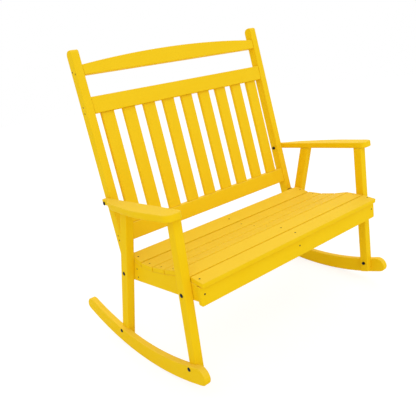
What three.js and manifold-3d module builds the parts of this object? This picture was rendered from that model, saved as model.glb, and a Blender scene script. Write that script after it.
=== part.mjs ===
// Rocking bench for a porch, in millimetres: +Z up, width along X, front toward -Y.
// Side outlines are drawn as (y, z). y = 0 is a plumb line a little behind the seat's rear
// edge and z = 0 lies close to the floor; the last step centres the bench on the origin.
import * as THREE from 'three';
import { mergeVertices } from 'three/addons/utils/BufferGeometryUtils.js';
import Module from 'manifold-3d';

const wasm = await Module();
wasm.setup();

const degrees = Math.PI / 180;

// Lumber
const stock = 35;
const thinStock = 19;
const edgeRound = 3;
const edgeSteps = 2;
const fit = 0.3;
const overrun = 60;

// Layers across the width, as distances from the middle plane
const railFace = 504;
const railInner = railFace - stock;
const legFace = railFace + stock;
const rockLap = 8;
const rockThick = 26;
const rockerInner = legFace - rockLap;
const rockerFace = rockerInner + rockThick;

// Back frame
const recline = 10.76 * degrees;
const postFootY = -53.1;
const postFootZ = 300;
const postDepth = 45;
const postProud = 2.5;
const railDeep = postDepth - postProud;
const postLong = 941;
const postFrontRound = 12;
const postRearRound = 21;
const railTall = 67;
const lowerRailAt = 151.1;
const upperRailDrop = 257.9;
const upperRailAt = postLong - upperRailDrop;
const crestDrop = 101.4;
const crestAt = postLong - crestDrop;
const crestEndTall = 40.4;
const crestRise = 24.2;
const crestSteps = 24;
const backSlatCount = 9;
const backSlatEndGap = 33.8;
const backSlatWide = 57.6;
const backSlatSetback = 10.7;

// Seat
const seatRearY = -73;
const seatRearZ = 416;
const seatTilts = [-13, 2.5, 9, 13, -0.5, -7];
const seatSlatWide = 75.5;
const frontSlatWide = 64.5;
const seatSlatGap = 5;
const seatSlatProud = 3;
const slatEdgeRound = 2.5;

// Seat frame
const apronSetback = 14;
const apronDrop = 12;
const apronCorner = 7;
const cornerSteps = 5;
const railSlope = 5.9 * degrees;
const railFootY = -82;
const railFootZ = 302;
const stretcherSetback = 43;

// Legs: where the front line of each crosses the seat rails' foot, and its lean
const rearLegLean = 15.69 * degrees;
const rearLegAhead = 18.5;
const rearLegWide = 44;
const frontLegLean = -0.9 * degrees;
const frontLegSetback = 62.5;
const frontLegWide = 39;
const footLift = 10;
const settleRounds = 30;

// Rockers
const rockRadius = 1370;
const rockCentreY = -130.5;
const rockCentreZ = 1364.2;
const rockDepth = 64.5;
const rockFrontAngle = 17.95 * degrees;
const rockRearAngle = 19.35 * degrees;
const rockFrontToeRound = 28;
const rockFrontHeelRound = 35;
const rockRearToeRound = 20;
const rockRearHeelRound = 43;
const rockFacets = 41;

// Arms
const armSlope = 4.5 * degrees;
const armPostRise = 327.4;
const armPostSetback = 20.9;
const armThick = 26;
const armRound = 3.5;
const armLong = 529;
const armWide = 77;
const armRearWide = 21;
const armTail = 11;
const armSideLong = 32;
const armBoltDrop = 4.8;
const armNoseShare = 0.9;
const armOuterCornerShare = 0.415;
const armInnerCornerShare = 0.3;
const armCurveShares = [
  { along: 0.2, out: 0.64 },
  { along: 0.32, out: 0.77 },
  { along: 0.44, out: 0.89 },
  { along: 0.58, out: 0.98 },
  { along: 0.66, out: 1 },
  { along: 0.79, out: 0.96 },
];
const armCurveSteps = 18;

// Bolts
const boltRound = 4;
const boltHeadRound = 8;
const boltHeadTall = 4;
const nutAcross = 13;
const nutThick = 6.5;
const boltTip = 1.5;
const boltSides = 16;
const domeSteps = 3;
const nutSides = 6;
const boreSides = 16;
const rearSeatBoltRise = 39;
const frontSeatBoltRise = 29;
const rockBoltRise = 54;

// Colours
const lumberYellow = 0xf2c21c;
const boltBlack = 0x15171d;

// Direction helpers
const sin = Math.sin;
const cos = Math.cos;
const tan = Math.tan;

const lumber = (name) => {
  const material = new THREE.MeshStandardMaterial({ color: lumberYellow, roughness: 0.55 });
  material.name = `${name}_lumber`;
  return material;
};

const blackSteel = (name) => {
  const material = new THREE.MeshStandardMaterial({ color: boltBlack, roughness: 0.45 });
  material.name = `${name}_steel`;
  return material;
};

const named = (name, geometry, makeMaterial) => {
  const mesh = new THREE.Mesh(geometry, makeMaterial(name));
  mesh.name = name;
  return mesh;
};

// A corner is {x, y, r, steps}: r rounds it with an arc of that radius.
const rounded = (corners) => corners.flatMap((corner, i) => {
  if (!corner.r) return [new THREE.Vector2(corner.x, corner.y)];
  const before = corners[(i + corners.length - 1) % corners.length];
  const after = corners[(i + 1) % corners.length];
  const at = new THREE.Vector2(corner.x, corner.y);
  const back = new THREE.Vector2(before.x, before.y).sub(at).normalize();
  const on = new THREE.Vector2(after.x, after.y).sub(at).normalize();
  const half = Math.acos(back.dot(on)) / 2;
  const toCentre = back.clone().add(on).normalize();
  const centre = at.clone().addScaledVector(toCentre, corner.r / sin(half));
  const start = at.clone().addScaledVector(back, corner.r / tan(half)).sub(centre);
  const turn = Math.PI - 2 * half;
  const sense = back.cross(on) < 0 ? 1 : -1;
  const steps = corner.steps ?? cornerSteps;
  return Array.from({ length: steps + 1 }, (_, k) => (
    start.clone().rotateAround(new THREE.Vector2(), sense * turn * k / steps).add(centre)
  ));
});

const corner = (x, y, r = 0, steps = cornerSteps) => ({ x, y, r, steps });

const circlePath = (y, z, radius, sides) => {
  const path = new THREE.Path();
  path.setFromPoints(Array.from({ length: sides }, (_, k) => {
    const a = -2 * Math.PI * k / sides;
    return new THREE.Vector2(y + radius * cos(a), z + radius * sin(a));
  }));
  path.closePath();
  return path;
};

// An outline pushed out by `thick`, with its edges eased by `ease`.
const plank = (points, thick, holes = [], ease = edgeRound) => {
  const shape = new THREE.Shape(points);
  shape.holes = holes;
  const geometry = new THREE.ExtrudeGeometry(shape, {
    depth: thick - 2 * ease,
    steps: 1,
    bevelThickness: ease,
    bevelSize: ease,
    bevelOffset: -ease,
    bevelSegments: edgeSteps,
  });
  geometry.translate(0, 0, ease);
  return geometry;
};

// A shape pushed out by `depth`, with square edges.
const prism = (shape, depth) => (
  new THREE.ExtrudeGeometry(shape, { depth, steps: 1, bevelEnabled: false })
);

// Places a geometry whose own x, y, z run along the three given directions.
const placed = (geometry, xAxis, yAxis, zAxis, at) => {
  const matrix = new THREE.Matrix4().makeBasis(xAxis, yAxis, zAxis).setPosition(at);
  return geometry.applyMatrix4(matrix);
};

const across = new THREE.Vector3(1, 0, 0);
const rearward = new THREE.Vector3(0, 1, 0);
const upward = new THREE.Vector3(0, 0, 1);

// A side outline in (y, z) standing between x = from and x = from + thick.
const sideBoard = (points, from, thick, holes = [], ease = edgeRound) => (
  placed(plank(points, thick, holes, ease), rearward, upward, across,
    new THREE.Vector3(from, 0, 0))
);

// A copy that shares its corners between faces.
const bare = (geometry) => {
  const copy = geometry.clone();
  ['normal', 'uv'].forEach((key) => copy.deleteAttribute(key));
  return mergeVertices(copy);
};

// The copy on the other side of x = 0, with its faces turned outward again.
const mirrored = (geometry) => {
  const copy = bare(geometry).scale(-1, 1, 1);
  const order = copy.index.array;
  for (let i = 0; i < order.length; i += 3) {
    [order[i], order[i + 1]] = [order[i + 1], order[i]];
  }
  copy.computeVertexNormals();
  return copy;
};

const toSolid = (geometry) => {
  const clean = bare(geometry);
  return new wasm.Manifold(new wasm.Mesh({
    numProp: 3,
    vertProperties: new Float32Array(clean.attributes.position.array),
    triVerts: new Uint32Array(clean.index.array),
  }));
};

const fromSolid = (solid) => {
  const mesh = solid.getMesh();
  const geometry = new THREE.BufferGeometry();
  geometry.setAttribute('position', new THREE.BufferAttribute(mesh.vertProperties, 3));
  geometry.setIndex(new THREE.BufferAttribute(mesh.triVerts, 1));
  geometry.computeVertexNormals();
  return geometry;
};

const cut = (geometry, tool) => fromSolid(toSolid(geometry).subtract(toSolid(tool)));

const bores = (axes) => axes.map(({ x, y }) => circlePath(x, y, boltRound + fit, boreSides));

// Back frame: `along` runs up from the posts' foot, `deep` runs back from the rails' front.
// The posts stand proud of the rails in front and end flush with them behind.
const upPost = new THREE.Vector3(0, sin(recline), cos(recline));
const intoPost = new THREE.Vector3(0, cos(recline), -sin(recline));
const postFoot = new THREE.Vector3(0, postFootY, postFootZ);
const onPost = (along, deep) => (
  postFoot.clone().addScaledVector(upPost, along).addScaledVector(intoPost, deep)
);
const onPostSide = (along, deep) => {
  const at = onPost(along, deep);
  return new THREE.Vector2(at.y, at.z);
};

const backPost = () => {
  const ends = [[0, -postProud], [0, railDeep], [postLong, railDeep], [postLong, -postProud]];
  const rounds = [0, 0, postRearRound, postFrontRound];
  const outline = rounded(ends.map(([along, deep], k) => {
    const at = onPostSide(along, deep);
    return corner(at.x, at.y, rounds[k]);
  }));
  return sideBoard(outline, railInner, stock, bores([armBolt]));
};

// A back rail drawn as (x, along).
const backRail = (points) => (
  placed(plank(points, railDeep), across, upPost, intoPost.clone().negate(),
    onPost(0, railDeep))
);

const straightRail = (at) => {
  const end = railInner - fit;
  return backRail([[-end, at], [end, at], [end, at + railTall], [-end, at + railTall]]
    .map(([x, along]) => new THREE.Vector2(x, along)));
};

const crestRail = () => {
  const end = railInner - fit;
  const bow = (end * end + crestRise * crestRise) / (2 * crestRise);
  const spread = Math.asin(end / bow);
  const top = Array.from({ length: crestSteps + 1 }, (_, k) => {
    const a = spread * (1 - 2 * k / crestSteps);
    const rise = crestRise - bow * (1 - cos(a));
    return new THREE.Vector2(bow * sin(a), crestAt + crestEndTall + rise);
  });
  return backRail([new THREE.Vector2(-end, crestAt), new THREE.Vector2(end, crestAt), ...top]);
};

const backSlat = (k) => {
  const half = backSlatWide / 2;
  const last = railInner - backSlatEndGap - half;
  const middle = last * (2 * k / (backSlatCount - 1) - 1);
  const from = lowerRailAt + railTall + fit;
  const tall = upperRailAt - fit - from;
  const outline = rounded([
    corner(-half, 0, slatEdgeRound, edgeSteps),
    corner(half, 0, slatEdgeRound, edgeSteps),
    corner(half, thinStock, slatEdgeRound, edgeSteps),
    corner(-half, thinStock, slatEdgeRound, edgeSteps),
  ]);
  const at = onPost(from, backSlatSetback);
  at.x = middle;
  return placed(prism(new THREE.Shape(outline), tall), across, intoPost, upPost, at);
};

// Seat slats lie end to end along a dished line, from the rear toward the front.
const seatLine = (() => {
  let y = seatRearY;
  let z = seatRearZ;
  return seatTilts.map((tilt, k) => {
    const wide = k === seatTilts.length - 1 ? frontSlatWide : seatSlatWide;
    const a = tilt * degrees;
    const rear = new THREE.Vector2(y, z);
    const front = new THREE.Vector2(y - wide * cos(a), z + wide * sin(a));
    const turn = (seatTilts[k + 1] ?? tilt) * degrees;
    const mean = (a + turn) / 2;
    y = front.x - seatSlatGap * cos(mean);
    z = front.y + seatSlatGap * sin(mean);
    const under = new THREE.Vector2(sin(a), cos(a)).multiplyScalar(-thinStock);
    return {
      rear,
      front,
      rearUnder: rear.clone().add(under),
      frontUnder: front.clone().add(under),
      tilt: a,
    };
  });
})();

// Shared places, in the order that each follows from the ones before it
const railFoot = (y) => railFootZ + (railFootY - y) * tan(railSlope);
const rockerFoot = (y) => (
  rockCentreZ - Math.sqrt(rockRadius * rockRadius - (y - rockCentreY) * (y - rockCentreY))
);
const seatFrontY = seatLine[seatLine.length - 1].front.x;
const apronFrontY = seatFrontY + apronSetback;
const railFrontY = apronFrontY + thinStock + fit;
const stretcherFrontY = seatRearY - stretcherSetback;
const postFrontY = (z) => (
  postFootY - postProud / cos(recline) + (z - postFootZ) * tan(recline)
);
const armBolt = onPostSide(armPostRise, armPostSetback);
const armUnder = (y) => (
  armBolt.y + armBoltDrop - armThick / cos(armSlope) / 2 + (armBolt.x - y) * tan(armSlope)
);

// The point of a leg that lies `shift` behind its front line at the height level(y).
const legPoint = ({ lineY, lean }, shift, level) => {
  let z = railFootZ;
  for (let i = 0; i < settleRounds; i += 1) {
    z = level(lineY - (z - railFootZ) * tan(lean) + shift);
  }
  return new THREE.Vector2(lineY - (z - railFootZ) * tan(lean) + shift, z);
};
const rearLegLine = { lineY: postFootY - rearLegAhead, lean: rearLegLean, wide: rearLegWide };
const frontLegLine = {
  lineY: seatFrontY + frontLegSetback,
  lean: frontLegLean,
  wide: frontLegWide,
};
const legAxis = (line, level) => legPoint(line, line.wide / cos(line.lean) / 2, level);
const rearSeatBolt = legAxis(rearLegLine, (y) => railFoot(y) + rearSeatBoltRise);
const frontSeatBolt = legAxis(frontLegLine, (y) => railFoot(y) + frontSeatBoltRise);
const rearRockBolt = legAxis(rearLegLine, (y) => rockerFoot(y) + rockBoltRise);
const frontRockBolt = legAxis(frontLegLine, (y) => rockerFoot(y) + rockBoltRise);

const meetsLeg = (rear, front) => [rearLegLine, frontLegLine].some((line) => {
  const legFront = legPoint(line, 0, () => Math.max(rear.y, front.y)).x;
  const legRear = legPoint(line, line.wide / cos(line.lean), () => (
    Math.min(rear.y, front.y) - thinStock)).x;
  return front.x < legRear + edgeRound && rear.x > legFront - edgeRound;
});

const seatSlat = (k) => {
  const { rear, front, rearUnder, frontUnder } = seatLine[k];
  const outline = rounded([
    corner(rear.x, rear.y, slatEdgeRound, edgeSteps),
    corner(front.x, front.y, slatEdgeRound, edgeSteps),
    corner(frontUnder.x, frontUnder.y, slatEdgeRound, edgeSteps),
    corner(rearUnder.x, rearUnder.y, slatEdgeRound, edgeSteps),
  ]).reverse();
  const reach = meetsLeg(rear, front) ? railFace - fit : railFace + seatSlatProud;
  return sideBoard(outline, -reach, 2 * reach, [], slatEdgeRound);
};

// Height of the seat slats' undersides at a given y, less the fit.
const underSeat = (y) => {
  const k = seatLine.findIndex((slat) => y >= slat.frontUnder.x);
  const { rearUnder, tilt } = seatLine[k < 0 ? seatLine.length - 1 : k];
  return rearUnder.y + (rearUnder.x - y) * tan(tilt) - fit / cos(tilt);
};

const seatRail = (rearBottom, rearTop, from, holes) => {
  const crown = seatLine.flatMap((slat) => (
    [slat.rearUnder, slat.frontUnder].map((point) => (
      new THREE.Vector2(point.x, point.y - fit / cos(slat.tilt))))
  )).filter((point) => point.x < rearTop.x && point.x > railFrontY);
  const outline = [
    new THREE.Vector2(railFrontY, railFoot(railFrontY)),
    rearBottom,
    rearTop,
    ...crown,
    new THREE.Vector2(railFrontY, underSeat(railFrontY)),
  ];
  return sideBoard(outline, from, stock, holes);
};

const sideRail = () => {
  const rearY = (z) => postFrontY(z) - fit / cos(recline);
  const bottomZ = railFoot(rearY(postFootZ));
  const topZ = underSeat(rearY(seatRearZ));
  return seatRail(new THREE.Vector2(rearY(bottomZ), bottomZ),
    new THREE.Vector2(rearY(topZ), topZ), railInner, bores([rearSeatBolt, frontSeatBolt]));
};

const centreRail = () => {
  const rearY = stretcherFrontY - fit;
  return seatRail(new THREE.Vector2(rearY, railFoot(rearY)),
    new THREE.Vector2(rearY, underSeat(rearY)), -stock / 2, []);
};

const rearStretcher = () => {
  const rearY = stretcherFrontY + thinStock;
  const footZ = railFoot(stretcherFrontY);
  const outline = [
    new THREE.Vector2(stretcherFrontY, footZ),
    new THREE.Vector2(rearY, footZ),
    new THREE.Vector2(rearY, underSeat(rearY)),
    new THREE.Vector2(stretcherFrontY, underSeat(stretcherFrontY)),
  ];
  const end = railInner - fit;
  return sideBoard(outline, -end, 2 * end);
};

const frontApron = () => {
  const footZ = railFoot(railFrontY) - apronDrop;
  const topZ = underSeat(apronFrontY);
  const end = railFace + seatSlatProud;
  const outline = rounded([
    corner(-end, footZ, apronCorner),
    corner(end, footZ, apronCorner),
    corner(end, topZ),
    corner(-end, topZ),
  ]);
  return placed(plank(outline, thinStock), across, upward, rearward.clone().negate(),
    new THREE.Vector3(0, apronFrontY + thinStock, 0));
};

// A rocker's outline is a rounded bar bent round the rocking centre, here grown all round.
const rockerOutline = (grow) => {
  const facet = (rockFrontAngle + rockRearAngle) / rockFacets;
  const first = -(Math.floor(rockFrontAngle / facet) - 0.5) * facet;
  const stations = Array.from({ length: rockFacets - 2 }, (_, k) => first + k * facet);
  const frontEnd = -rockFrontAngle * rockRadius - grow;
  const rearEnd = rockRearAngle * rockRadius + grow;
  const frontClear = frontEnd + Math.max(rockFrontToeRound, rockFrontHeelRound) + 2 * grow;
  const rearClear = rearEnd - Math.max(rockRearToeRound, rockRearHeelRound) - 2 * grow;
  const run = stations.map((a) => a * rockRadius)
    .filter((u) => u > frontClear && u < rearClear);
  const under = -grow;
  const over = rockDepth + grow;
  return rounded([
    corner(frontEnd, under, rockFrontToeRound + grow),
    ...run.map((u) => corner(u, under)),
    corner(rearEnd, under, rockRearToeRound + grow),
    corner(rearEnd, over, rockRearHeelRound + grow),
    ...run.slice().reverse().map((u) => corner(u, over)),
    corner(frontEnd, over, rockFrontHeelRound + grow),
  ]).map(({ x, y }) => {
    const a = x / rockRadius;
    const r = rockRadius - y;
    return new THREE.Vector2(rockCentreY + r * sin(a), rockCentreZ - r * cos(a));
  });
};

// One facet of the rocker lies flat on the floor.
const rocker = () => (
  sideBoard(rockerOutline(0), rockerInner, rockThick, bores([rearRockBolt, frontRockBolt]))
);

// The space that the rocker takes out of the legs' outer faces.
const rockerLap = () => (
  placed(prism(new THREE.Shape(rockerOutline(fit)), rockThick + overrun), rearward, upward,
    across, new THREE.Vector3(rockerInner - fit, 0, 0))
);

const leg = ({ lineY, lean, wide }, axes) => {
  const step = wide / cos(lean);
  const top = (y) => armUnder(y) - fit;
  const foot = (y) => rockerFoot(y) + footLift;
  const outline = [
    legPoint({ lineY, lean }, 0, foot),
    legPoint({ lineY, lean }, step, foot),
    legPoint({ lineY, lean }, step, top),
    legPoint({ lineY, lean }, 0, top),
  ];
  return cut(sideBoard(outline, railFace, stock, bores(axes)), rockerLap());
};

const boltBore = (axis) => {
  const reach = armWide + overrun;
  const bore = new THREE.CylinderGeometry(boltRound + fit, boltRound + fit, reach, boreSides);
  return placed(bore, upward, across, rearward,
    new THREE.Vector3(railFace, axis.x, axis.y));
};

// An arm is drawn in its own plane: x out from the rail face, y back from the bolt.
const arm = () => {
  const noseOut = armNoseShare * armWide;
  const outerCorner = armOuterCornerShare * armWide;
  const innerCorner = armInnerCornerShare * armWide;
  const nose = armTail - armLong;
  const curve = new THREE.SplineCurve([
    new THREE.Vector2(armRearWide, armTail - armSideLong),
    ...armCurveShares.map(({ along, out }) => (
      new THREE.Vector2(out * armWide, armTail - along * armLong))),
    new THREE.Vector2(noseOut, nose + outerCorner),
  ]).getPoints(armCurveSteps);
  const outline = rounded([
    corner(fit, armTail),
    corner(fit, nose, innerCorner),
    corner(noseOut, nose, outerCorner),
    ...curve.reverse().slice(1).map(({ x, y }) => corner(x, y)),
    corner(armRearWide, armTail),
  ]);
  const along = new THREE.Vector3(0, cos(armSlope), -sin(armSlope));
  const normal = new THREE.Vector3(0, sin(armSlope), cos(armSlope));
  const board = placed(plank(outline, armThick, [], armRound), across, along, normal,
    new THREE.Vector3(railFace, armBolt.x, armUnder(armBolt.x)));
  return cut(board, boltBore(armBolt));
};

// A round-headed bolt along +X: its shank runs from x = from to x = to, its head beyond.
const bolt = (from, to, axis) => {
  const profile = [
    new THREE.Vector2(0, from),
    new THREE.Vector2(boltRound, from),
    new THREE.Vector2(boltRound, to),
    ...Array.from({ length: domeSteps + 1 }, (_, k) => {
      const a = Math.PI * k / (2 * domeSteps);
      return new THREE.Vector2(boltHeadRound * cos(a), to + boltHeadTall * sin(a));
    }),
  ];
  const body = new THREE.LatheGeometry(profile, boltSides);
  return placed(bare(body), upward, across, rearward,
    new THREE.Vector3(0, axis.x, axis.y));
};

const nut = (from, axis) => {
  const shape = new THREE.Shape(Array.from({ length: nutSides }, (_, k) => {
    const a = 2 * Math.PI * k / nutSides;
    const reach = nutAcross / 2 / cos(Math.PI / nutSides);
    return new THREE.Vector2(axis.x + reach * cos(a), axis.y + reach * sin(a));
  }));
  shape.holes = bores([axis]);
  return placed(prism(shape, nutThick), rearward, upward, across,
    new THREE.Vector3(from - nutThick, 0, 0));
};

const fasteners = () => [
  ['arm', armBolt, railInner, railFace + armRearWide],
  ['rear_seat', rearSeatBolt, railInner, legFace],
  ['front_seat', frontSeatBolt, railInner, legFace],
  ['rear_rocker', rearRockBolt, railFace, rockerFace],
  ['front_rocker', frontRockBolt, railFace, rockerFace],
].flatMap(([name, axis, inner, outer]) => [
  [`${name}_bolt`, bolt(inner - nutThick - boltTip, outer, axis)],
  [`${name}_nut`, nut(inner, axis)],
]);

const pair = (name, geometry, makeMaterial) => [
  named(`${name}_right`, geometry, makeMaterial),
  named(`${name}_left`, mirrored(geometry), makeMaterial),
];

// The finished bench is centred in X and Y and stands on z = 0.
const centreOnFloor = (group) => {
  group.updateMatrixWorld(true);
  const box = new THREE.Box3().setFromObject(group, true);
  const middle = box.getCenter(new THREE.Vector3());
  group.children.forEach((mesh) => {
    mesh.geometry.translate(-middle.x, -middle.y, -box.min.z);
    mesh.geometry.computeBoundingBox();
  });
  return group;
};

const bench = new THREE.Group();
bench.name = 'rocking_bench';
bench.add(
  ...pair('back_post', backPost(), lumber),
  ...pair('rear_leg', leg(rearLegLine, [rearSeatBolt, rearRockBolt]), lumber),
  ...pair('front_leg', leg(frontLegLine, [frontSeatBolt, frontRockBolt]), lumber),
  ...pair('rocker', rocker(), lumber),
  ...pair('arm', arm(), lumber),
  ...pair('side_rail', sideRail(), lumber),
  named('centre_seat_rail', centreRail(), lumber),
  named('rear_seat_stretcher', rearStretcher(), lumber),
  named('front_apron', frontApron(), lumber),
  named('lower_back_rail', straightRail(lowerRailAt), lumber),
  named('upper_back_rail', straightRail(upperRailAt), lumber),
  named('crest_rail', crestRail(), lumber),
  ...Array.from({ length: backSlatCount }, (_, k) => (
    named(`back_slat_${k + 1}`, backSlat(k), lumber))),
  ...seatTilts.map((_, k) => named(`seat_slat_${k + 1}`, seatSlat(k), lumber)),
  ...fasteners().flatMap(([name, geometry]) => pair(name, geometry, blackSteel)),
);

export default centreOnFloor(bench);
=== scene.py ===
"""Looks for a porch rocking bench made of coloured plastic lumber.

The packed model gives the fixed frame. Each board is dressed with a copy of its solid that is
countersunk for its screws and smoothly shaded. The bolts, nuts and screws are turned here as
surfaces.
"""

import math

import bmesh
import bpy
import numpy as np
from mathutils import Matrix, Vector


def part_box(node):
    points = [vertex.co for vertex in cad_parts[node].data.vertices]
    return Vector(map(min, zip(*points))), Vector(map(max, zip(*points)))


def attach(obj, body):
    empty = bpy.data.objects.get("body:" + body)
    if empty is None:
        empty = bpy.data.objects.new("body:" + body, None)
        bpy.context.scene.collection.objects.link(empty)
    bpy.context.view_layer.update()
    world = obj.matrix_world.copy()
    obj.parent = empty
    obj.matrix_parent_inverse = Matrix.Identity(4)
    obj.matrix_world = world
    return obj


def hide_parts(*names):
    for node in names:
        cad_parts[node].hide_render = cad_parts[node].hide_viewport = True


bl_info = {
    "name": "Rocking Bench",
    "version": (1, 0, 0),
    "blender": (4, 5, 0),
    "location": "View3D > Sidebar > Bench",
    "description": "Dresses a two-seat plastic lumber rocking bench and its studio",
    "category": "Object",
}

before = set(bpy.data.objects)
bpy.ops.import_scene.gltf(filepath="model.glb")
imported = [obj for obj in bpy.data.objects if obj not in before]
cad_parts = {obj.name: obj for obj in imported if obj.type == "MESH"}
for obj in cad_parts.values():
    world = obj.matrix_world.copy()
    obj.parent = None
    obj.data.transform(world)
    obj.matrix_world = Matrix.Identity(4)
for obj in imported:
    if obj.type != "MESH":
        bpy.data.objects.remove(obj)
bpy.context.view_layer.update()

MM = 0.001
SIDES = (-1.0, 1.0)
ACROSS = np.array([1.0, 0.0, 0.0])
REARWARD = np.array([0.0, 1.0, 0.0])
UPWARD = np.array([0.0, 0.0, 1.0])
WHITE = (1, 1, 1, 1)


# Colour


def linear(hex_colour):
    """An sRGB hex colour as linear red, green and blue, by the sRGB standard's own curve."""
    value = np.array([int(hex_colour[i:i + 2], 16) for i in (1, 3, 5)]) / 255.0
    low = value / 12.92
    high = ((value + 0.055) / 1.055) ** 2.4
    return tuple(float(v) for v in np.where(value <= 0.04045, low, high))


def opaque(colour):
    """A linear colour with full alpha."""
    return (*colour, 1.0)


# Settings


class BenchLumber(bpy.types.PropertyGroup):
    """Plastic lumber colour and grain."""

    colour: bpy.props.FloatVectorProperty(
        name="Colour", description="Body colour of the lumber",
        subtype="COLOR", size=3, min=0.0, max=1.0, default=linear("#F1C70D"))
    streak: bpy.props.FloatVectorProperty(
        name="Streak", description="Paler tone of the flow streaks along a board",
        subtype="COLOR", size=3, min=0.0, max=1.0, default=linear("#F2C913"))
    roughness: bpy.props.FloatProperty(
        name="Roughness", description="Sheen of the planed skin",
        subtype="FACTOR", min=0.0, max=1.0, default=0.6)
    bloom: bpy.props.FloatProperty(
        name="Bloom", description="Pale cast of the brushed skin at a glancing view",
        subtype="FACTOR", min=0.0, max=1.0, default=0.02)
    # Painted highlight: a pale tone mixed into faces turned up, in place of light from above
    top_highlight: bpy.props.FloatVectorProperty(
        name="Top Highlight", description="Pale tone of a skin that has lain open to the sky",
        subtype="COLOR", size=3, min=0.0, max=1.0, default=linear("#FBF4DC"))
    top_highlight_amount: bpy.props.FloatProperty(
        name="Top Highlight Amount", description="How far faces turned up have gone chalky",
        subtype="FACTOR", min=0.0, max=1.0, default=0.05)
    grain_long: bpy.props.FloatProperty(
        name="Grain Length", description="Length of a flow streak; brush lines are half as long",
        unit="LENGTH", min=0.0, default=160 * MM)
    grain_wide: bpy.props.FloatProperty(
        name="Grain Width", description="A third of a flow streak and twice a brush line",
        unit="LENGTH", min=0.0, default=5 * MM)
    grain_deep: bpy.props.FloatProperty(
        name="Grain Depth", description="Depth of the brushed grain",
        unit="LENGTH", min=0.0, default=0.04 * MM)
    smooth_angle: bpy.props.FloatProperty(
        name="Smooth Angle", description="Edges flatter than this shade smoothly",
        subtype="ANGLE", min=0.0, max=math.pi, default=math.radians(50))


class BenchHardware(bpy.types.PropertyGroup):
    """Sizes and colours of bolts, nuts and screws."""

    steel: bpy.props.FloatVectorProperty(
        name="Steel", description="Black coating of the bolts and nuts",
        subtype="COLOR", size=3, min=0.0, max=1.0, default=linear("#10131E"))
    screw: bpy.props.FloatVectorProperty(
        name="Screw", description="Dark finish of the screws",
        subtype="COLOR", size=3, min=0.0, max=1.0, default=linear("#2E2B20"))
    head_wide: bpy.props.FloatProperty(
        name="Bolt Head Width", description="Diameter of a round bolt head",
        unit="LENGTH", min=0.0, default=16 * MM)
    head_tall: bpy.props.FloatProperty(
        name="Bolt Head Height", description="Height of a round bolt head",
        unit="LENGTH", min=0.0, default=4 * MM)
    shank_wide: bpy.props.FloatProperty(
        name="Shank Width", description="Diameter of a bolt's shank",
        unit="LENGTH", min=0.0, default=8 * MM)
    nut_wide: bpy.props.FloatProperty(
        name="Nut Width", description="Nut size across its flats",
        unit="LENGTH", min=0.0, default=13 * MM)
    nut_tall: bpy.props.FloatProperty(
        name="Nut Height", description="Height of a nut",
        unit="LENGTH", min=0.0, default=6.5 * MM)
    screw_wide: bpy.props.FloatProperty(
        name="Screw Head Width", description="Diameter of a screw head",
        unit="LENGTH", min=0.0, default=6.6 * MM)
    sink_wide: bpy.props.FloatProperty(
        name="Countersink Width", description="Diameter of the countersink at the surface",
        unit="LENGTH", min=0.0, default=8.4 * MM)
    sink_deep: bpy.props.FloatProperty(
        name="Countersink Depth", description="Depth of the cone that a screw head lies in",
        unit="LENGTH", min=0.0, default=1.2 * MM)


class BenchFrame(bpy.types.PropertyGroup):
    """Places that the screws follow, measured on the model."""

    recline: bpy.props.FloatProperty(
        name="Recline", description="Lean of the back posts",
        subtype="ANGLE", default=math.radians(10.76))
    rear_lean: bpy.props.FloatProperty(
        name="Rear Leg Lean", description="Forward lean of the rear legs",
        subtype="ANGLE", default=math.radians(15.69))
    post_foot: bpy.props.FloatVectorProperty(
        name="Post Foot", description="Front corner of a back post's foot in Y and Z",
        unit="LENGTH", size=2, default=(60.67 * MM, 305.76 * MM))
    screw_row: bpy.props.FloatProperty(
        name="Screw Row", description="Distance of the outer screw rows from the middle",
        unit="LENGTH", default=489 * MM)
    slat_screw_back: bpy.props.FloatProperty(
        name="Slat Screw Setback",
        description="How far a slat's screw sits behind the slat's middle",
        unit="LENGTH", default=2 * MM)
    apron_screw_height: bpy.props.FloatProperty(
        name="Apron Screw Height", description="Height of the apron's screws",
        unit="LENGTH", default=382 * MM)


class BenchStage(bpy.types.PropertyGroup):
    """Floor, light and camera."""

    floor: bpy.props.FloatVectorProperty(
        name="Floor", description="Colour of the floor",
        subtype="COLOR", size=3, min=0.0, max=1.0, default=linear("#F4F4F4"))
    floor_glow: bpy.props.FloatProperty(
        name="Floor Glow", description="How much the floor's shadow is lifted",
        subtype="FACTOR", min=0.0, max=1.0, default=0.7)
    floor_round: bpy.props.FloatProperty(
        name="Floor Radius", description="Radius of the floor", unit="LENGTH", default=9.0)
    sky: bpy.props.FloatProperty(
        name="Fill", description="Strength of the even fill light", min=0.0, default=0.78)
    key: bpy.props.FloatProperty(
        name="Key", description="Strength of the soft key light", min=0.0, default=0.78)
    rear: bpy.props.FloatProperty(
        name="Rear", description="Strength of the soft rear light", min=0.0, default=0.72)
    softness: bpy.props.FloatProperty(
        name="Softness", description="Apparent width of the lights",
        subtype="ANGLE", default=math.radians(60))
    lens: bpy.props.FloatProperty(
        name="Lens", description="Focal length on a 36 mm sensor, in mm", default=44.89)


SETTINGS = {
    "bench_lumber": BenchLumber,
    "bench_hardware": BenchHardware,
    "bench_frame": BenchFrame,
    "bench_stage": BenchStage,
}


# Nodes and materials


def add_node(tree, kind, settings=None, values=None, links=None):
    """Adds a node, sets its options and socket values, and joins its inputs."""
    node = tree.nodes.new(kind)
    for key, value in (settings or {}).items():
        setattr(node, key, value)
    for key, value in (values or {}).items():
        node.inputs[key].default_value = value
    for key, source in (links or {}).items():
        tree.links.new(source, node.inputs[key])
    return node


def new_material(name):
    """An empty node material with its shader and output."""
    material = bpy.data.materials.new(name)
    material.use_nodes = True
    tree = material.node_tree
    tree.nodes.clear()
    shader = add_node(tree, "ShaderNodeBsdfPrincipled")
    output = add_node(tree, "ShaderNodeOutputMaterial")
    tree.links.new(shader.outputs["BSDF"], output.inputs["Surface"])
    return material, tree, shader


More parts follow.
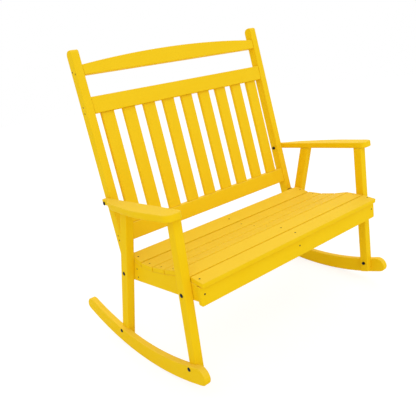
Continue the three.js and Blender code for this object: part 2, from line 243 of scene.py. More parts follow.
# The lumber's pattern. Real brush lines are well under a millimetre wide. They are drawn about
# 2.5 mm wide, as coarse as they need to be to show.
STREAK_WIDENS = 3
BRUSH_DIVIDES = 2
CLOUD_WIDE = 90 * MM
STREAK_WEIGHT = 0.6
TONE_LOW, TONE_HIGH = 0.55, 1.05
# How nearly upward a face turns before it gets the whole painted highlight
FULLY_UP = 0.95
GRAIN_BUMP = 0.5
ROUGHER, SMOOTHER = 0.06, 0.05

# Polyethylene's IOR is near 1.5, but brushing breaks up the skin's gloss, so the IOR and the
# gloss are both brought down.
LUMBER_IOR = 1.35
LUMBER_GLOSS = 0.06
BLOOM_SPREAD = 0.35

# The part of a noise's range that most of it lies in
NOISE_LOW, NOISE_HIGH = 0.3, 0.7


def lumber_material(direction, name):
    """Extruded high-density polyethylene lumber, coloured all through, planed and brushed.

    The melt flows along the board, so faint paler streaks and a brushed grain run its way.
    The brushed skin is nearly matt, with a pale cast at a glancing view. Faces turned up are
    painted paler: a painted highlight that stands in for light falling from above.
    """
    look = bpy.context.scene.bench_lumber
    full_name = f"hdpe_lumber_{name}"
    if full_name in bpy.data.materials:
        return bpy.data.materials[full_name]
    material, tree, shader = new_material(full_name)
    along = np.asarray(direction) / np.linalg.norm(direction)
    turn = (0.0, -math.asin(along[2]), math.atan2(along[1], along[0]))
    streak_wide = look.grain_wide * STREAK_WIDENS
    brush_long, brush_wide = look.grain_long / BRUSH_DIVIDES, look.grain_wide / BRUSH_DIVIDES
    place = add_node(tree, "ShaderNodeTexCoord")
    streak_map = add_node(
        tree, "ShaderNodeMapping", {"vector_type": "TEXTURE"},
        {"Rotation": turn, "Scale": (look.grain_long, streak_wide, streak_wide)},
        {"Vector": place.outputs["Object"]})
    streaks = add_node(
        tree, "ShaderNodeTexNoise", None,
        {"Scale": 1.0, "Detail": 3.0, "Roughness": 0.55},
        {"Vector": streak_map.outputs["Vector"]})
    cloud = add_node(
        tree, "ShaderNodeTexNoise", None,
        {"Scale": 1 / CLOUD_WIDE, "Detail": 2.0, "Roughness": 0.5},
        {"Vector": place.outputs["Object"]})
    tone = add_node(
        tree, "ShaderNodeMath", {"operation": "MULTIPLY_ADD"}, {1: STREAK_WEIGHT},
        {0: streaks.outputs["Fac"]})
    tree.links.new(cloud.outputs["Fac"], tone.inputs[2])
    spread = add_node(
        tree, "ShaderNodeMapRange", {"interpolation_type": "SMOOTHSTEP"},
        {"From Min": TONE_LOW, "From Max": TONE_HIGH, "To Min": 0.0, "To Max": 1.0},
        {"Value": tone.outputs["Value"]})
    body = add_node(
        tree, "ShaderNodeMix", {"data_type": "RGBA"},
        {"A": opaque(look.colour), "B": opaque(look.streak)},
        {"Factor": spread.outputs["Result"]})
    # Painted highlight: faces turned up are mixed toward a pale tone, as if lit from above
    facing = add_node(tree, "ShaderNodeNewGeometry")
    upward = add_node(
        tree, "ShaderNodeSeparateXYZ", None, None, {"Vector": facing.outputs["True Normal"]})
    highlighted = add_node(
        tree, "ShaderNodeMapRange", None,
        {"From Min": 0.0, "From Max": FULLY_UP, "To Min": 0.0, "To Max": look.top_highlight_amount},
        {"Value": upward.outputs["Z"]})
    skin = add_node(
        tree, "ShaderNodeMix", {"data_type": "RGBA"}, {"B": opaque(look.top_highlight)},
        {"Factor": highlighted.outputs["Result"], "A": body.outputs["Result"]})
    tree.links.new(skin.outputs["Result"], shader.inputs["Base Color"])
    grain_map = add_node(
        tree, "ShaderNodeMapping", {"vector_type": "TEXTURE"},
        {"Rotation": turn, "Scale": (brush_long, brush_wide, brush_wide)},
        {"Vector": place.outputs["Object"]})
    grain = add_node(
        tree, "ShaderNodeTexNoise", None,
        {"Scale": 1.0, "Detail": 4.0, "Roughness": 0.6},
        {"Vector": grain_map.outputs["Vector"]})
    sheen = add_node(
        tree, "ShaderNodeMapRange", None,
        {"From Min": NOISE_LOW, "From Max": NOISE_HIGH,
         "To Min": look.roughness - SMOOTHER, "To Max": look.roughness + ROUGHER},
        {"Value": grain.outputs["Fac"]})
    tree.links.new(sheen.outputs["Result"], shader.inputs["Roughness"])
    bump = add_node(
        tree, "ShaderNodeBump", None,
        {"Strength": GRAIN_BUMP, "Distance": look.grain_deep},
        {"Height": grain.outputs["Fac"]})
    tree.links.new(bump.outputs["Normal"], shader.inputs["Normal"])
    shader.inputs["IOR"].default_value = LUMBER_IOR
    shader.inputs["Specular IOR Level"].default_value = LUMBER_GLOSS
    shader.inputs["Sheen Weight"].default_value = look.bloom
    shader.inputs["Sheen Roughness"].default_value = BLOOM_SPREAD
    return material


# The coat on the steel is thin and dull: it lets some of the metal's shine through and has
# little gloss of its own. Its tone varies a little with its orange peel.
COAT_DARKER, COAT_LIGHTER = 0.75, 1.35
COAT_METAL = 0.35
COAT_GLOSS = 0.2
PEEL_BUMP = 0.3
PEEL_DEEP = 0.1 * MM


def coated_steel_material(name, colour, roughness, speck):
    """Zinc-plated steel under a baked dark coat: softly shining, faintly orange-peeled."""
    if name in bpy.data.materials:
        return bpy.data.materials[name]
    material, tree, shader = new_material(name)
    place = add_node(tree, "ShaderNodeTexCoord")
    peel = add_node(
        tree, "ShaderNodeTexNoise", None,
        {"Scale": 1 / speck, "Detail": 3.0, "Roughness": 0.5},
        {"Vector": place.outputs["Object"]})
    shade = add_node(
        tree, "ShaderNodeMapRange", None,
        {"From Min": NOISE_LOW, "From Max": NOISE_HIGH, "To Min": 0.0, "To Max": 1.0},
        {"Value": peel.outputs["Fac"]})
    coat = add_node(
        tree, "ShaderNodeMix", {"data_type": "RGBA"},
        {"A": opaque([c * COAT_DARKER for c in colour]),
         "B": opaque([c * COAT_LIGHTER for c in colour])},
        {"Factor": shade.outputs["Result"]})
    tree.links.new(coat.outputs["Result"], shader.inputs["Base Color"])
    bump = add_node(
        tree, "ShaderNodeBump", None, {"Strength": PEEL_BUMP, "Distance": PEEL_DEEP},
        {"Height": peel.outputs["Fac"]})
    tree.links.new(bump.outputs["Normal"], shader.inputs["Normal"])
    shader.inputs["Roughness"].default_value = roughness
    shader.inputs["Metallic"].default_value = COAT_METAL
    shader.inputs["Specular IOR Level"].default_value = COAT_GLOSS
    return material


# Meshes

# Hardware edges flatter than this shade smoothly
HARDWARE_SMOOTH = math.radians(40)

# Corners of a CAD mesh closer than this are one, and faces flatter than this are one flat
MERGE_WITHIN = 0.01 * MM
FLAT_WITHIN = math.radians(0.05)

# How nearly a face points in a direction, as a cosine: roughly, and as one flat with another
ROUGHLY = 0.9
SAME_FLAT = 0.9999


def in_scene(name, data):
    """A new object at the origin, in the scene's collection."""
    thing = bpy.data.objects.new(name, data)
    bpy.context.collection.objects.link(thing)
    return thing


def new_mesh(name, points, faces):
    """A mesh from an array of points and a list of faces."""
    mesh = bpy.data.meshes.new(name)
    mesh.from_pydata(points.tolist(), [], faces)
    return mesh


def hardware_piece(name, points, faces, material, *nodes):
    """A finished fastener at the origin that rides on the bench, and the nodes it replaces."""
    mesh = new_mesh(name, points, faces)
    mesh.materials.append(material)
    mesh.shade_smooth()
    mesh.set_sharp_from_angle(angle=HARDWARE_SMOOTH)
    piece = in_scene(name, mesh)
    if nodes:
        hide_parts(*nodes)
    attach(piece, "root")


def frame_across(axis):
    """Two directions square to an axis, so that first x second = axis."""
    axis = axis / np.linalg.norm(axis)
    helper = UPWARD if abs(axis[2]) < ROUGHLY else ACROSS
    first = np.cross(helper, axis)
    first /= np.linalg.norm(first)
    return first, np.cross(axis, first), axis


def turned(profile, radius_at, sides):
    """A closed surface of revolution on a grid of (angle, profile step).

    A point is (r cos t, r sin t, h), where (r, h) runs along the profile from the axis at the
    bottom to the axis at the top, and radius_at(t, r) may flatten the circle, as on a hexagon.
    """
    angle = 2 * np.pi * np.arange(sides) / sides
    r, h = np.asarray(profile, float).T
    ring = radius_at(angle[:, None], r[None, 1:-1])
    x = ring * np.cos(angle)[:, None]
    y = ring * np.sin(angle)[:, None]
    z = np.broadcast_to(h[None, 1:-1], ring.shape)
    points = np.concatenate([np.stack([x, y, z], -1).reshape(-1, 3),
                             [[0, 0, h[0]], [0, 0, h[-1]]]])
    steps = len(profile) - 2
    a, k = np.meshgrid(np.arange(sides), np.arange(steps - 1), indexing="ij")
    here = a * steps + k
    after = ((a + 1) % sides) * steps + k
    quads = np.stack([here, after, after + 1, here + 1], -1).reshape(-1, 4)
    spoke = np.arange(sides)
    low = np.stack([np.full(sides, len(points) - 2), ((spoke + 1) % sides) * steps,
                    spoke * steps], -1)
    high = np.stack([np.full(sides, len(points) - 1), spoke * steps + steps - 1,
                     ((spoke + 1) % sides) * steps + steps - 1], -1)
    return points, quads.tolist() + low.tolist() + high.tolist()


def circle(angle, radius):
    """A plain round section."""
    return radius + 0 * angle


def hexagon(angle, radius):
    """A hexagon whose flats lie at the given radius."""
    sixth = np.pi / 3
    return radius / np.cos((angle + sixth / 2) % sixth - sixth / 2)


def set_along(points, at, axis):
    """Moves points drawn about Z so that their Z runs along an axis from a place."""
    first, second, third = frame_across(axis)
    return np.asarray(at) + points @ np.stack([first, second, third])


def gathered(shapes):
    """Several (points, faces) joined as one mesh."""
    points, faces, count = [], [], 0
    for shape_points, shape_faces in shapes:
        points.append(shape_points)
        faces += [[i + count for i in face] for face in shape_faces]
        count += len(shape_points)
    return np.concatenate(points), faces


def node_faces(node):
    """Face normals, areas and centres of a CAD node."""
    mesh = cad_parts[node].data
    count = len(mesh.polygons)
    normal = np.empty(count * 3)
    centre = np.empty(count * 3)
    area = np.empty(count)
    mesh.polygons.foreach_get("normal", normal)
    mesh.polygons.foreach_get("center", centre)
    mesh.polygons.foreach_get("area", area)
    return normal.reshape(-1, 3), area, centre.reshape(-1, 3)


def flat_toward(node, direction):
    """Normal and middle of a node's largest flat facing a direction.

    The middle is the mean of its faces' centres, weighted by their areas.
    """
    normal, area, centre = node_faces(node)
    facing = normal @ direction > ROUGHLY
    best = normal[np.argmax(area * facing)]
    share = area * (facing & (normal @ best > SAME_FLAT))
    return best, (centre * share[:, None]).sum(0) / share.sum()


# Boards

# A screw's seat: room round the head, its straight foot, and the cutter's run past the board
SEAT_ROOM = 0.15 * MM
SEAT_FOOT = 0.6 * MM
CUTTER_PROUD = 1 * MM
CUTTER_SIDES = 20


def cone_cutter(at, axis):
    """A countersink cutter: a short shaft and a cone that widens past the board's surface."""
    sizes = bpy.context.scene.bench_hardware
    wide = sizes.sink_wide / 2
    narrow = sizes.screw_wide / 2 + SEAT_ROOM
    deep = sizes.sink_deep + SEAT_FOOT
    slope = (wide - narrow) / sizes.sink_deep
    profile = [(0, -deep), (narrow, -deep), (narrow, -sizes.sink_deep),
               (wide + slope * CUTTER_PROUD, CUTTER_PROUD), (0, CUTTER_PROUD)]
    points, faces = turned(profile, circle, CUTTER_SIDES)
    return set_along(points, at, axis), faces


def board_copy(node, material, sinks=()):
    """A board's solid with its loose triangles merged, countersunk and smoothly shaded.

    Each corner's normal leans to the larger face beside it, so the flats stay flat and the
    bevels between them look rounded.
    """
    name = f"board_{node}"
    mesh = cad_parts[node].data.copy()
    mesh.name = name
    shell = bmesh.new()
    shell.from_mesh(mesh)
    bmesh.ops.remove_doubles(shell, verts=shell.verts, dist=MERGE_WITHIN)
    bmesh.ops.dissolve_limit(
        shell, angle_limit=FLAT_WITHIN, verts=shell.verts, edges=shell.edges)
    shell.to_mesh(mesh)
    shell.free()
    mesh.materials.clear()
    mesh.materials.append(material)
    piece = in_scene(name, mesh)
    if sinks:
        countersink(piece, sinks)
    mesh = piece.data
    mesh.shade_smooth()
    mesh.set_sharp_from_angle(angle=bpy.context.scene.bench_lumber.smooth_angle)
    weight = piece.modifiers.new("face_weight", "WEIGHTED_NORMAL")
    weight.keep_sharp = True
    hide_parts(node)
    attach(piece, "root")


def countersink(piece, sinks):
    """Cuts the screw seats of a board with one joined cutter."""
    points, faces = gathered([cone_cutter(at, axis) for at, axis in sinks])
    cutter = in_scene("cutter", new_mesh("cutter", points, faces))
    cut = piece.modifiers.new("countersink", "BOOLEAN")
    cut.operation = "DIFFERENCE"
    cut.solver = "EXACT"
    cut.object = cutter
    bpy.context.view_layer.update()
    finished = bpy.data.meshes.new_from_object(
        piece.evaluated_get(bpy.context.evaluated_depsgraph_get()))
    piece.modifiers.clear()
    finished.name = piece.data.name
    piece.data = finished
    bpy.data.objects.remove(cutter)


# Screw seats: (place, outward direction)

# A post's screws: up the post and rearward into it from its foot's front corner, in mm. Two
# hold the crest rail, two the upper back rail and two the lower one.
POST_SCREWS = ((857.6, 30.5), (846.6, 9.8), (715.1, 21), (690.3, 21), (184.1, 21), (163.9, 21))

# A side rail's screws: heights above the rear stretcher's foot, in mm
RAIL_SCREWS = (17, 53)


def screw_rows():
    """Where the three rows of seat screws run: over each seat rail."""
    row = bpy.context.scene.bench_frame.screw_row
    return (-row, 0.0, row)


def slat_sinks(node):
    """Three seats in a seat slat: one over each seat rail."""
    normal, middle = flat_toward(node, UPWARD)
    rearward = np.cross(normal, ACROSS)
    rearward = rearward * np.sign(rearward @ REARWARD)
    at = middle + rearward * bpy.context.scene.bench_frame.slat_screw_back
    return [(np.array([x, at[1], at[2]]), normal) for x in screw_rows()]


def post_sinks(side):
    """Two seats in a post's outer face for each back rail."""
    place = bpy.context.scene.bench_frame
    up = np.array([0.0, math.sin(place.recline), math.cos(place.recline)])
    into = np.array([0.0, math.cos(place.recline), -math.sin(place.recline)])
    foot = np.array([0.0, *place.post_foot])
    spots = np.array(POST_SCREWS) * MM
    at = foot + spots[:, :1] * up + spots[:, 1:] * into
    at[:, 0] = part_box("back_post_right")[1][0] * side
    return [(point, ACROSS * side) for point in at]


def rail_sinks(side):
    """Two seats in a side rail's outer face, at the rear stretcher's end."""
    low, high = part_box("rear_seat_stretcher")
    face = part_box("side_rail_right")[1][0] * side
    middle = (low[1] + high[1]) / 2
    heights = low[2] + np.array(RAIL_SCREWS) * MM
    return [(np.array([face, middle, z]), ACROSS * side) for z in heights]


def apron_sinks():
    """Three seats in the apron's front face: one at each seat rail's end."""
    height = bpy.context.scene.bench_frame.apron_screw_height
    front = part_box("front_apron")[0][1]
    return [(np.array([x, front, height]), -REARWARD) for x in screw_rows()]


# Fasteners

# A screw's head: how far it stands above and below the foot of the cone, its rim, and the
# half width, softened lip and depth of its square drive
HEAD_ABOVE = 0.7 * MM
HEAD_BELOW = 0.5 * MM
HEAD_RIM = 0.25 * MM
HEAD_FOOT_SHARE, HEAD_TOP_SHARE = 0.92, 0.9
DRIVE = 1.2 * MM
DRIVE_LIP = 0.1 * MM
DRIVE_DEEP = 0.9 * MM
DRIVE_MOUTH_SHARE, DRIVE_FLOOR_SHARE = 1.3, 0.9
SQUARE_WITHIN = 1.05
SCREW_SIDES = 16


def drive_section(angle, radius):
    """A circle, but a square of the same half width inside the drive."""
    quarter = np.pi / 2
    square = radius / np.cos((angle + quarter / 2) % quarter - quarter / 2)
    return np.where(radius < DRIVE * SQUARE_WITHIN, square, radius + 0 * angle)


def screw_head(at, axis):
    """A flat screw head with a sunk square drive, lying at the foot of its seat."""
    sizes = bpy.context.scene.bench_hardware
    wide = sizes.screw_wide / 2
    top = -sizes.sink_deep + HEAD_ABOVE
    low = -sizes.sink_deep - HEAD_BELOW
    profile = [(0, low), (wide * HEAD_FOOT_SHARE, low), (wide, top - HEAD_RIM),
               (wide * HEAD_TOP_SHARE, top), (DRIVE * DRIVE_MOUTH_SHARE, top),
               (DRIVE, top - DRIVE_LIP), (DRIVE * DRIVE_FLOOR_SHARE, top - DRIVE_DEEP),
               (0, top - DRIVE_DEEP)]
    points, faces = turned(profile, drive_section, SCREW_SIDES)
    return set_along(points, at, axis), faces


# A bolt: its dome's steps, the share of the head's height that is rim, the shares that round
# its underside, and its thread end's step in mm, ridge count, root, chamfer and blank tip
DOME_STEPS = np.linspace(0.1, 1.0, 7)
RIM_SHARE, DOME_SHARE = 0.18, 0.82
UNDER_WIDE_SHARE, UNDER_TALL_SHARE = 0.98, 0.1
THREAD_STEP = 1.25
THREAD_RIDGES = 7
THREAD_ROOT_SHARE = 0.9
THREAD_CHAMFER_SHARE = 0.75
THREAD_TIP = 1 * MM
BOLT_SIDES = 28


def bolt_shape(at, axis, reach, back):
    """A carriage bolt: a low dome with a thin rim, its shank, and a chamfered thread end.

    Over a quarter turn t, the dome runs through (wide cos t, tall (rim + dome sin t)). The
    shank reaches its nut, and the thread goes on behind it.
    """
    sizes = bpy.context.scene.bench_hardware
    wide, tall = sizes.head_wide / 2, sizes.head_tall
    shank = sizes.shank_wide / 2
    end = -reach - back
    t = DOME_STEPS * np.pi / 2
    dome = np.stack([wide * np.cos(t), tall * (RIM_SHARE + DOME_SHARE * np.sin(t))], -1)
    thread = np.arange(THREAD_RIDGES) * THREAD_STEP * MM
    ridges = [(shank * (THREAD_ROOT_SHARE if i % 2 else 1.0), end + THREAD_TIP + h)
              for i, h in enumerate(thread)]
    profile = [(0, end), (shank * THREAD_CHAMFER_SHARE, end), *ridges, (shank, -reach),
               (shank, 0), (wide * UNDER_WIDE_SHARE, 0), (wide, tall * UNDER_TALL_SHARE),
               *dome[:-1], (0, tall)]
    points, faces = turned(profile, circle, BOLT_SIDES)
    return set_along(points, at, axis), faces


# A nut: room round the bolt, its faces' chamfer as a share of its height, and how far its
# corners reach past its flats at the faces
NUT_ROOM = 0.2 * MM
NUT_CHAMFER_SHARE = 0.12
NUT_FACE_SHARE = 1.02
NUT_SIDES = 36


def nut_shape(at, axis):
    """A hexagon nut with both faces chamfered, open round the bolt.

    A ring of (r cos t, r sin t, h) runs from the bore out over the lower face, up the flats,
    back over the upper face and down the bore. r is the hexagon's, held in at the two faces.
    """
    sizes = bpy.context.scene.bench_hardware
    flat = sizes.nut_wide / 2
    chamfer = NUT_CHAMFER_SHARE
    level = np.array([0.0, 0.0, chamfer, 1.0 - chamfer, 1.0, 1.0]) * sizes.nut_tall
    angle = 2 * np.pi * np.arange(NUT_SIDES) / NUT_SIDES
    bore = np.full(NUT_SIDES, sizes.shank_wide / 2 + NUT_ROOM)
    corner = hexagon(angle, flat)
    trimmed = np.minimum(corner, flat * NUT_FACE_SHARE)
    radius = np.stack([bore, trimmed, corner, corner, trimmed, bore], -1)
    points = np.stack([radius * np.cos(angle)[:, None], radius * np.sin(angle)[:, None],
                       np.broadcast_to(level, radius.shape)], -1).reshape(-1, 3)
    rings = len(level)
    a, k = np.meshgrid(np.arange(NUT_SIDES), np.arange(rings), indexing="ij")
    here, after = a * rings, ((a + 1) % NUT_SIDES) * rings
    up = (k + 1) % rings
    faces = np.stack([here + k, after + k, after + up, here + up], -1).reshape(-1, 4)
    return set_along(points, at, axis), faces.tolist()


# Operators


def nodes_with(word):
    """The CAD nodes whose names hold a word, in order."""
    return sorted(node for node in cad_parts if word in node)


def reclined_lumber():
    """The lumber of boards that lean back with the posts."""
    recline = bpy.context.scene.bench_frame.recline
    return lumber_material((0, math.sin(recline), math.cos(recline)), "reclined")


class BenchOperator:
    """Shared by the operators that add pieces."""

    bl_options = {"REGISTER", "UNDO"}


class BENCH_OT_back_posts(BenchOperator, bpy.types.Operator):
    """Dress the two back posts"""

    bl_idname = "bench.back_posts"
    bl_label = "Back Posts"

    def execute(self, context):
        material = reclined_lumber()
        for name, side in zip(("left", "right"), SIDES):
            board_copy(f"back_post_{name}", material, post_sinks(side))
        return {"FINISHED"}


class BENCH_OT_back_rails(BenchOperator, bpy.types.Operator):
    """Dress the crest rail and the two straight back rails"""

    bl_idname = "bench.back_rails"
    bl_label = "Back Rails"

    def execute(self, context):
        material = lumber_material(ACROSS, "across")
        for node in ("crest_rail", "upper_back_rail", "lower_back_rail"):
            board_copy(node, material)
        return {"FINISHED"}


class BENCH_OT_back_slats(BenchOperator, bpy.types.Operator):
    """Dress the back slats"""

    bl_idname = "bench.back_slats"
    bl_label = "Back Slats"

    def execute(self, context):
        material = reclined_lumber()
        for node in nodes_with("back_slat_"):
            board_copy(node, material)
        return {"FINISHED"}


class BENCH_OT_seat_slats(BenchOperator, bpy.types.Operator):
    """Dress the dished row of seat slats"""

    bl_idname = "bench.seat_slats"
    bl_label = "Seat Slats"

    def execute(self, context):
        material = lumber_material(ACROSS, "across")
        for node in nodes_with("seat_slat_"):
            board_copy(node, material, slat_sinks(node))
        return {"FINISHED"}


class BENCH_OT_seat_frame(BenchOperator, bpy.types.Operator):
    """Dress the apron, the rear stretcher and the three seat rails"""

    bl_idname = "bench.seat_frame"
    bl_label = "Seat Frame"

    def execute(self, context):
        across = lumber_material(ACROSS, "across")
        fore_aft = lumber_material(REARWARD, "fore_aft")
        board_copy("front_apron", across, apron_sinks())
        board_copy("rear_seat_stretcher", across)
        board_copy("centre_seat_rail", fore_aft)
        for name, side in zip(("left", "right"), SIDES):
            board_copy(f"side_rail_{name}", fore_aft, rail_sinks(side))
        return {"FINISHED"}


class BENCH_OT_legs(BenchOperator, bpy.types.Operator):
    """Dress the four legs"""

    bl_idname = "bench.legs"
    bl_label = "Legs"

    def execute(self, context):
        lean = context.scene.bench_frame.rear_lean
        leaning = lumber_material((0, -math.sin(lean), math.cos(lean)), "leaning")
        upright = lumber_material(UPWARD, "upright")
        for name in ("left", "right"):
            board_copy(f"rear_leg_{name}", leaning)
            board_copy(f"front_leg_{name}", upright)
        return {"FINISHED"}


class BENCH_OT_rockers(BenchOperator, bpy.types.Operator):
    """Dress the two curved runners"""

    bl_idname = "bench.rockers"
    bl_label = "Rockers"

    def execute(self, context):
        material = lumber_material(REARWARD, "fore_aft")
        for name in ("left", "right"):
            board_copy(f"rocker_{name}", material)
        return {"FINISHED"}


class BENCH_OT_arms(BenchOperator, bpy.types.Operator):
    """Dress the two arms"""

    bl_idname = "bench.arms"
    bl_label = "Arms"

    def execute(self, context):
        material = lumber_material(REARWARD, "fore_aft")
        for name in ("left", "right"):
            board_copy(f"arm_{name}", material)
        return {"FINISHED"}


# How dull the coat on a fastener is, and the width of its orange peel, as on powder coat
BOLT_ROUGHNESS, BOLT_PEEL = 0.4, 2 * MM
SCREW_ROUGHNESS, SCREW_PEEL = 0.45, 1.5 * MM


class BENCH_OT_bolts(BenchOperator, bpy.types.Operator):
    """Turn the black bolts and their nuts"""

    bl_idname = "bench.bolts"
    bl_label = "Bolts and Nuts"

    def execute(self, context):
        sizes = context.scene.bench_hardware
        material = coated_steel_material(
            "black_coated_steel", sizes.steel, BOLT_ROUGHNESS, BOLT_PEEL)
        for node in nodes_with("_bolt_"):
            side = 1.0 if node.endswith("right") else -1.0
            low, high = (np.array(corner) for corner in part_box(node))
            middle = (low + high) / 2
            outer, inner = (high[0], low[0]) if side > 0 else (low[0], high[0])
            seat = outer - side * sizes.head_tall
            nut = node.replace("_bolt_", "_nut_")
            nut_low, nut_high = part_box(nut)
            near = nut_high[0] if side > 0 else nut_low[0]
            at = np.array([seat, middle[1], middle[2]])
            points, faces = bolt_shape(at, ACROSS * side, abs(seat - near), abs(near - inner))
            hardware_piece(f"turned_{node}", points, faces, material, node)
            at = np.array([near, middle[1], middle[2]])
            points, faces = nut_shape(at, -ACROSS * side)
            hardware_piece(f"turned_{nut}", points, faces, material, nut)
        return {"FINISHED"}


class BENCH_OT_screws(BenchOperator, bpy.types.Operator):
    """Turn the small screws of the slats, posts, rails and apron"""

    bl_idname = "bench.screws"
    bl_label = "Screws"

    def execute(self, context):
        colour = context.scene.bench_hardware.screw
        material = coated_steel_material(
            "dark_plated_screw_steel", colour, SCREW_ROUGHNESS, SCREW_PEEL)
        slats = nodes_with("seat_slat_")
        groups = {
            "seat_screws": [seat for node in slats for seat in slat_sinks(node)],
            "post_screws": [seat for side in SIDES for seat in post_sinks(side)],
            "rail_screws": [seat for side in SIDES for seat in rail_sinks(side)],
            "apron_screws": apron_sinks(),
        }
        for name, seats in groups.items():
            points, faces = gathered([screw_head(at, axis) for at, axis in seats])
            hardware_piece(name, points, faces, material)
        return {"FINISHED"}


# The directions that the lights shine from
KEY_FROM = (-0.30, -0.62, 0.72)
REAR_FROM = (0.45, 0.60, 0.66)


class BENCH_OT_stage(BenchOperator, bpy.types.Operator):
    """Lay the floor and set the lights and the camera"""

    bl_idname = "bench.stage"
    bl_label = "Stage"

    def execute(self, context):
        scene = context.scene
        look = scene.bench_stage
        lay_floor(look)
        light_world(scene, look)
        add_sun("key_light", look.key, look.softness, KEY_FROM)
        add_sun("rear_light", look.rear, look.softness, REAR_FROM)
        set_camera(scene, look)
        scene.view_settings.view_transform = "Standard"
        return {"FINISHED"}


def seen_directly(tree):
    """One where a ray is seen by the camera, in a reflection or through glass."""
    path = add_node(tree, "ShaderNodeLightPath")
    either = add_node(
        tree, "ShaderNodeMath", {"operation": "MAXIMUM"}, None,
        {0: path.outputs["Is Camera Ray"], 1: path.outputs["Is Glossy Ray"]})
    return add_node(
        tree, "ShaderNodeMath", {"operation": "MAXIMUM"}, None,
        {0: either.outputs["Value"], 1: path.outputs["Is Transmission Ray"]}).outputs["Value"]


# The floor's rim, and what is added to its glow so that its open parts reach white
FLOOR_SIDES = 64
FLOOR_LIFT = 0.1


def lay_floor(look):
    """A pale round floor at the runners' foot that keeps the bench's soft shadow.

    Its rim runs through (round cos t, round sin t, 0).
    """
    angle = 2 * np.pi * np.arange(FLOOR_SIDES) / FLOOR_SIDES
    points = np.stack([np.cos(angle), np.sin(angle), 0 * angle], -1) * look.floor_round
    floor = in_scene("floor", new_mesh("floor", points, [list(range(FLOOR_SIDES))]))
    material = bpy.data.materials.new("pale_studio_floor")
    material.use_nodes = True
    tree = material.node_tree
    tree.nodes.clear()
    matt = add_node(tree, "ShaderNodeBsdfDiffuse", None, {"Color": opaque(look.floor)})
    veil = add_node(
        tree, "ShaderNodeBsdfDiffuse", None,
        {"Color": opaque([c * (1.0 - look.floor_glow) for c in look.floor])})
    glow = add_node(
        tree, "ShaderNodeEmission", None,
        {"Color": WHITE, "Strength": look.floor_glow + FLOOR_LIFT})
    lifted = add_node(tree, "ShaderNodeAddShader")
    tree.links.new(veil.outputs["BSDF"], lifted.inputs[0])
    tree.links.new(glow.outputs["Emission"], lifted.inputs[1])
    choice = add_node(tree, "ShaderNodeMixShader", None, None, {0: seen_directly(tree)})
    tree.links.new(matt.outputs["BSDF"], choice.inputs[1])
    tree.links.new(lifted.outputs["Shader"], choice.inputs[2])
    output = add_node(tree, "ShaderNodeOutputMaterial")
    tree.links.new(choice.outputs["Shader"], output.inputs["Surface"])
    floor.data.materials.append(material)


def light_world(scene, look):
    """Even fill light, with a white backdrop where it is seen."""
    world = bpy.data.worlds.new("studio")
    world.use_nodes = True
    tree = world.node_tree
    tree.nodes.clear()
    fill = add_node(
        tree, "ShaderNodeBackground", None, {"Color": WHITE, "Strength": look.sky})
    white = add_node(
        tree, "ShaderNodeBackground", None, {"Color": WHITE, "Strength": 1.0})
    choice = add_node(tree, "ShaderNodeMixShader", None, None, {0: seen_directly(tree)})
    tree.links.new(fill.outputs["Background"], choice.inputs[1])
    tree.links.new(white.outputs["Background"], choice.inputs[2])
    output = add_node(tree, "ShaderNodeOutputWorld")
    tree.links.new(choice.outputs["Shader"], output.inputs["Surface"])
    scene.world = world


def add_sun(name, strength, softness, direction):
    """A broad soft light that shines from the given direction."""
    lamp = bpy.data.lights.new(name, "SUN")
    lamp.energy = strength
    lamp.angle = softness
    light = in_scene(name, lamp)
    turn = np.stack(frame_across(np.asarray(direction, float)), 1)
    light.matrix_world = Matrix(turn).to_4x4()


# The camera, found from the bench's straight edges in the photograph: the directions of its
# right and up, its place in mm, its shift as shares of the frame, its sensor in mm, and how
# far it sees in metres
CAMERA_RIGHT = (0.76199, -0.63569, -0.12357)
CAMERA_UP = (0.26371, 0.13033, 0.95576)
CAMERA_PLACE = (-1420.2, -1695.04, 1209.0)
CAMERA_SHIFT = (0.0018, -0.0611)
CAMERA_SENSOR = 36.0
CAMERA_SIGHT = 50.0


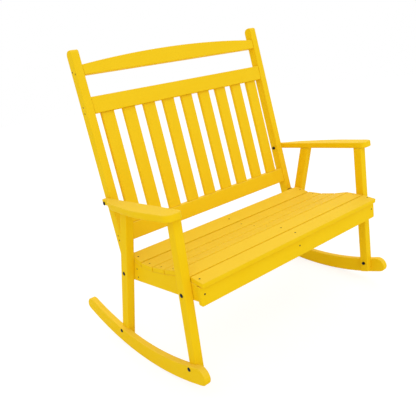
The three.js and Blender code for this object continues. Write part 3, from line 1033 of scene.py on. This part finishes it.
def set_camera(scene, look):
    """A level bench seen from the front left, with the camera rolled as in the photograph."""
    right = np.array(CAMERA_RIGHT)
    back = np.cross(right, CAMERA_UP)
    up = np.cross(back, right)
    view = np.eye(4)
    view[:3, :3] = np.stack([v / np.linalg.norm(v) for v in (right, up, back)], 1)
    view[:3, 3] = np.array(CAMERA_PLACE) * MM
    lens = bpy.data.cameras.new("camera")
    lens.sensor_width = CAMERA_SENSOR
    lens.sensor_fit = "HORIZONTAL"
    lens.lens = look.lens
    lens.shift_x, lens.shift_y = CAMERA_SHIFT
    lens.clip_end = CAMERA_SIGHT
    camera = in_scene("camera", lens)
    camera.matrix_world = Matrix(view.tolist())
    scene.camera = camera


class BENCH_PT_panel(bpy.types.Panel):
    """Lists the bench's pieces"""

    bl_idname = "BENCH_PT_panel"
    bl_label = "Rocking Bench"
    bl_space_type = "VIEW_3D"
    bl_region_type = "UI"
    bl_category = "Bench"

    def draw(self, context):
        for name, group in SETTINGS.items():
            box = self.layout.box()
            box.label(text=group.__doc__)
            for key in group.__annotations__:
                box.prop(getattr(context.scene, name), key)
        for operator in OPERATORS:
            self.layout.operator(operator.bl_idname)


OPERATORS = (
    BENCH_OT_back_posts,
    BENCH_OT_back_rails,
    BENCH_OT_back_slats,
    BENCH_OT_seat_slats,
    BENCH_OT_seat_frame,
    BENCH_OT_legs,
    BENCH_OT_rockers,
    BENCH_OT_arms,
    BENCH_OT_bolts,
    BENCH_OT_screws,
    BENCH_OT_stage,
)


def register():
    """Adds the settings, operators and panel."""
    for cls in (*SETTINGS.values(), *OPERATORS, BENCH_PT_panel):
        bpy.utils.register_class(cls)
    for name, group in SETTINGS.items():
        setattr(bpy.types.Scene, name, bpy.props.PointerProperty(type=group))


def unregister():
    """Takes the settings, operators and panel away again."""
    for name in SETTINGS:
        delattr(bpy.types.Scene, name)
    for cls in reversed((*SETTINGS.values(), *OPERATORS, BENCH_PT_panel)):
        bpy.utils.unregister_class(cls)


def main():
    """Registers the settings and operators, then runs each operator to dress the bench."""
    register()
    for operator in OPERATORS:
        family, name = operator.bl_idname.split(".")
        getattr(getattr(bpy.ops, family), name)()


if __name__ == "__main__":
    main()
